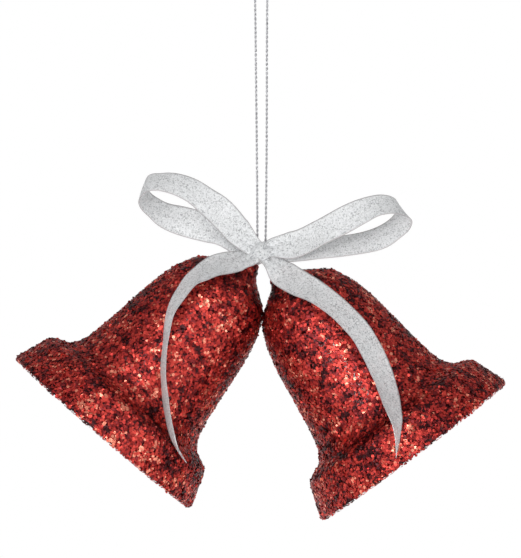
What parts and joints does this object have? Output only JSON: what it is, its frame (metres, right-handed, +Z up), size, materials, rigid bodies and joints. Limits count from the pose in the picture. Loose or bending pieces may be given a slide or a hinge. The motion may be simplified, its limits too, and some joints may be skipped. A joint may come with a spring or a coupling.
{
  "type": "christmas bell ornament",
  "caption": "Hollow glittered bells splayed apart under a ribbon bow, each with a clapper, hung on one loop of thread.",
  "frame": {"origin": "top of the hanging loop of thread, where a hook or twig carries the ornament", "axes": "+X to the right across both bells, +Y to the back, away from the bow, +Z up"},
  "size_m": [0.1626, 0.0814, 0.1829],
  "materials": {
    "glitter_red": "coarse red metallic flakes glued over a moulded plastic shell",
    "silver_ribbon": "thin woven ribbon with metallic threads",
    "silver_thread": "twisted metallic thread",
    "steel_wire": "bright drawn wire",
    "clapper_silver": "silvered plastic bead",
    "clear_glue": "set hot-melt glue"
  },
  "bodies": {
    "hanger": {"hang_thread": "silver_thread", "thread_knot": "silver_thread", "bow_knot": "silver_ribbon", "bow_loop_left": "silver_ribbon", "bow_loop_right": "silver_ribbon", "glue_dab": "clear_glue"},
    "left_tie": {"left_tie_thread": "silver_thread", "bow_tail_left": "silver_ribbon"},
    "left_pin": {"left_crown_pin": "steel_wire", "left_stop_washer": "steel_wire"},
    "left_bell": {"left_bell_shell": "glitter_red"},
    "left_clapper": {"left_clapper_thread": "silver_thread", "left_clapper_bead": "clapper_silver", "left_clapper_knot": "silver_thread"},
    "right_tie": {"right_tie_thread": "silver_thread", "bow_tail_right": "silver_ribbon"},
    "right_pin": {"right_crown_pin": "steel_wire", "right_stop_washer": "steel_wire"},
    "right_bell": {"right_bell_shell": "glitter_red"},
    "right_clapper": {"right_clapper_thread": "silver_thread", "right_clapper_bead": "clapper_silver", "right_clapper_knot": "silver_thread"}
  },
  "joints": [
    {"name": "left_rock", "type": "hinge", "parent": "hanger", "child": "left_tie", "pos_m": [0, 0, -0.092], "axis": [1, 0, 0], "range_deg": [-6, 15]},
    {"name": "left_swing", "type": "hinge", "parent": "left_tie", "child": "left_pin", "pos_m": [-0.00145, 0, -0.0946], "axis": [0, 1, 0], "range_deg": [0, 10]},
    {"name": "left_spin", "type": "hinge", "parent": "left_pin", "child": "left_bell", "pos_m": [-0.00145, 0, -0.0946], "axis": [0.6521, 0, 0.7581], "continuous": true},
    {"name": "left_clapper_swing", "type": "hinge", "parent": "left_pin", "child": "left_clapper", "pos_m": [-0.01237, 0, -0.1073], "axis": [0, 1, 0], "range_deg": [0, 42]},
    {"name": "right_rock", "type": "hinge", "parent": "hanger", "child": "right_tie", "pos_m": [0, 0, -0.092], "axis": [1, 0, 0], "range_deg": [-6, 15]},
    {"name": "right_swing", "type": "hinge", "parent": "right_tie", "child": "right_pin", "pos_m": [0.0037, 0, -0.0975], "axis": [0, -1, 0], "range_deg": [0, 10]},
    {"name": "right_spin", "type": "hinge", "parent": "right_pin", "child": "right_bell", "pos_m": [0.0037, 0, -0.0975], "axis": [-0.6004, 0, 0.7997], "continuous": true},
    {"name": "right_clapper_swing", "type": "hinge", "parent": "right_pin", "child": "right_clapper", "pos_m": [0.01376, 0, -0.11089], "axis": [0, -1, 0], "range_deg": [0, 42]}
  ]
}
